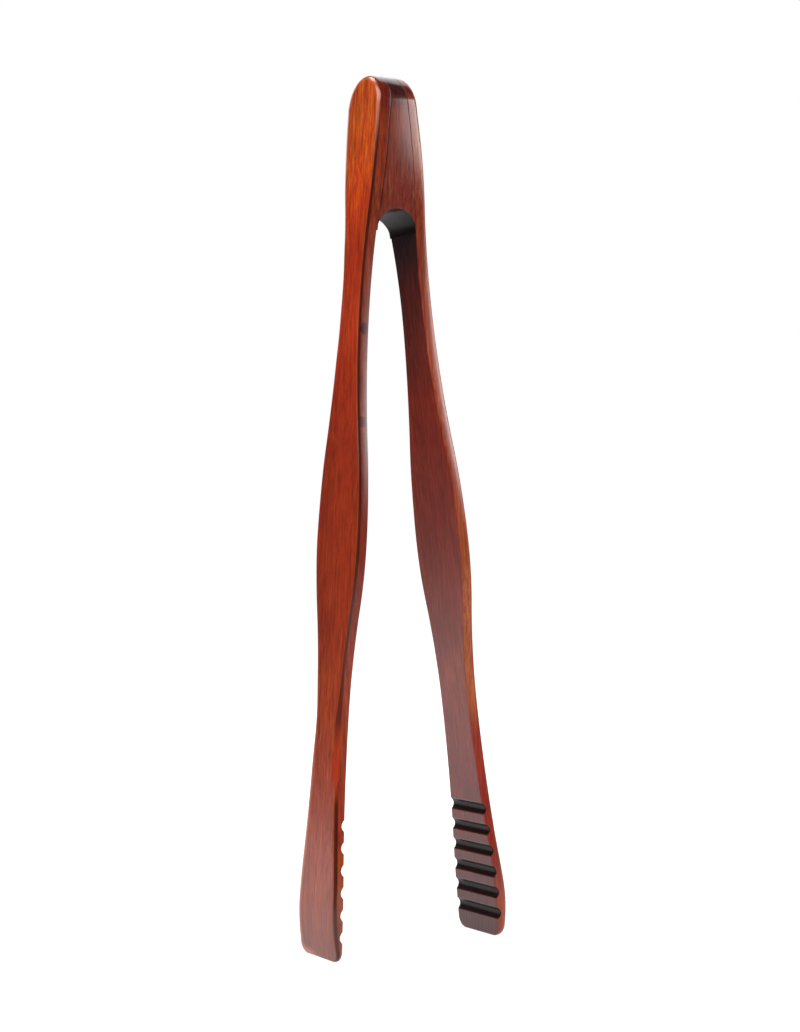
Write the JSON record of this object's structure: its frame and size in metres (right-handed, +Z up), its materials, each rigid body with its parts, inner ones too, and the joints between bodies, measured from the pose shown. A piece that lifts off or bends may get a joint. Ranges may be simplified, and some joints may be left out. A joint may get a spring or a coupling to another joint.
{
  "type": "wooden kitchen tongs",
  "caption": "Slim wooden kitchen tongs: springy waisted arms glued to a tapered spacer wedge, with a rounded head and cross-grooved spatula tips.",
  "frame": {"origin": "midway between the two tips, on the surface that they stand on", "axes": "+Z up towards the head, +X towards the right arm (the arms open along X), +Y across an arm's width"},
  "size_m": [0.0692, 0.0278, 0.3],
  "materials": {
    "arm_wood": "red-brown stained hardwood under gloss lacquer, grain along the arm",
    "wedge_wood": "red-brown stained hardwood under gloss lacquer, upright grain",
    "glue": "dark hardened wood glue"
  },
  "bodies": {
    "head": {"spacer_wedge": "wedge_wood", "left_glue_line": "glue", "right_glue_line": "glue", "left_arm_heel": "arm_wood", "right_arm_heel": "arm_wood", "left_arm_neck": "arm_wood", "right_arm_neck": "arm_wood"},
    "left_blade": {"left_arm_blade": "arm_wood"},
    "right_blade": {"right_arm_blade": "arm_wood"}
  },
  "joints": [
    {"name": "left_arm_flex", "type": "hinge", "parent": "head", "child": "left_blade", "pos_m": [-0.0127, 0, 0.22], "axis": [0, -1, 0], "range_deg": [-2, 8.2], "stiffness_Nm_per_rad": 12, "deforming": ["left_arm_neck"]},
    {"name": "right_arm_flex", "type": "hinge", "parent": "head", "child": "right_blade", "pos_m": [0.0127, 0, 0.22], "axis": [0, 1, 0], "range_deg": [-2, 8.2], "stiffness_Nm_per_rad": 12, "deforming": ["right_arm_neck"]}
  ]
}
